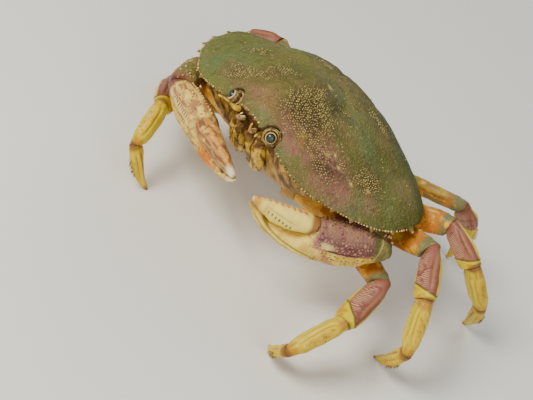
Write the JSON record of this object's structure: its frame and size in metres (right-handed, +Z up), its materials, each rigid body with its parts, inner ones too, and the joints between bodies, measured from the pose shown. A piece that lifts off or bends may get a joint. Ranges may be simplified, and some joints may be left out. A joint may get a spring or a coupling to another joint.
{
  "type": "dungeness crab",
  "caption": "Life-size crab standing still, domed toothed shell, claws folded in front and jointed walking legs bent to the floor.",
  "frame": {"origin": "on the floor, under the middle of the whole crab's bounding box", "axes": "+X to the crab's own left, the crab faces -Y, +Z up"},
  "size_m": [0.259, 0.1994, 0.1065],
  "materials": {
    "carapace_shell": "olive and mauve-brown granular shell with cream tooth tips, damp sheen",
    "pale_underside": "cream to yellow-brown, smooth shell",
    "mouthparts": "yellow to brown, smooth with short bristles",
    "eyestalks": "pale brown, smooth",
    "eyes": "dark blue-grey, very glossy",
    "claw_palms": "cream and yellow with a net of mauve-purple, pitted",
    "claw_fingers": "cream-yellow with paler knobs and tips",
    "upper_limbs": "orange-red to yellow, finely granular",
    "middle_limbs": "mauve with cream streaks and a yellow lower edge",
    "lower_limbs": "golden yellow with brown seams, slightly glossy"
  },
  "bodies": {
    "root": {"carapace": "carapace_shell", "left_antenna": "mouthparts", "left_claw_carpus": "middle_limbs", "left_claw_finger": "claw_fingers", "left_claw_merus": "upper_limbs", "left_claw_palm": "claw_palms", "left_eye": "eyes", "left_eyestalk": "eyestalks", "left_leg_1_carpus": "middle_limbs", "left_leg_1_dactyl": "lower_limbs", "left_leg_1_merus": "upper_limbs", "left_leg_1_propodus": "lower_limbs", "left_leg_2_carpus": "middle_limbs", "left_leg_2_dactyl": "lower_limbs", "left_leg_2_merus": "upper_limbs", "left_leg_2_propodus": "lower_limbs", "left_leg_3_carpus": "middle_limbs", "left_leg_3_dactyl": "lower_limbs", "left_leg_3_merus": "upper_limbs", "left_leg_3_propodus": "lower_limbs", "left_leg_4_carpus": "middle_limbs", "left_leg_4_dactyl": "lower_limbs", "left_leg_4_merus": "upper_limbs", "left_leg_4_propodus": "lower_limbs", "left_maxilliped": "mouthparts", "right_antenna": "mouthparts", "right_claw_carpus": "middle_limbs", "right_claw_finger": "claw_fingers", "right_claw_merus": "upper_limbs", "right_claw_palm": "claw_palms", "right_eye": "eyes", "right_eyestalk": "eyestalks", "right_leg_1_carpus": "middle_limbs", "right_leg_1_dactyl": "lower_limbs", "right_leg_1_merus": "upper_limbs", "right_leg_1_propodus": "lower_limbs", "right_leg_2_carpus": "middle_limbs", "right_leg_2_dactyl": "lower_limbs", "right_leg_2_merus": "upper_limbs", "right_leg_2_propodus": "lower_limbs", "right_leg_3_carpus": "middle_limbs", "right_leg_3_dactyl": "lower_limbs", "right_leg_3_merus": "upper_limbs", "right_leg_3_propodus": "lower_limbs", "right_leg_4_carpus": "middle_limbs", "right_leg_4_dactyl": "lower_limbs", "right_leg_4_merus": "upper_limbs", "right_leg_4_propodus": "lower_limbs", "right_maxilliped": "mouthparts", "tail_plate": "pale_underside", "underbody": "pale_underside"}
  },
  "joints": []
}
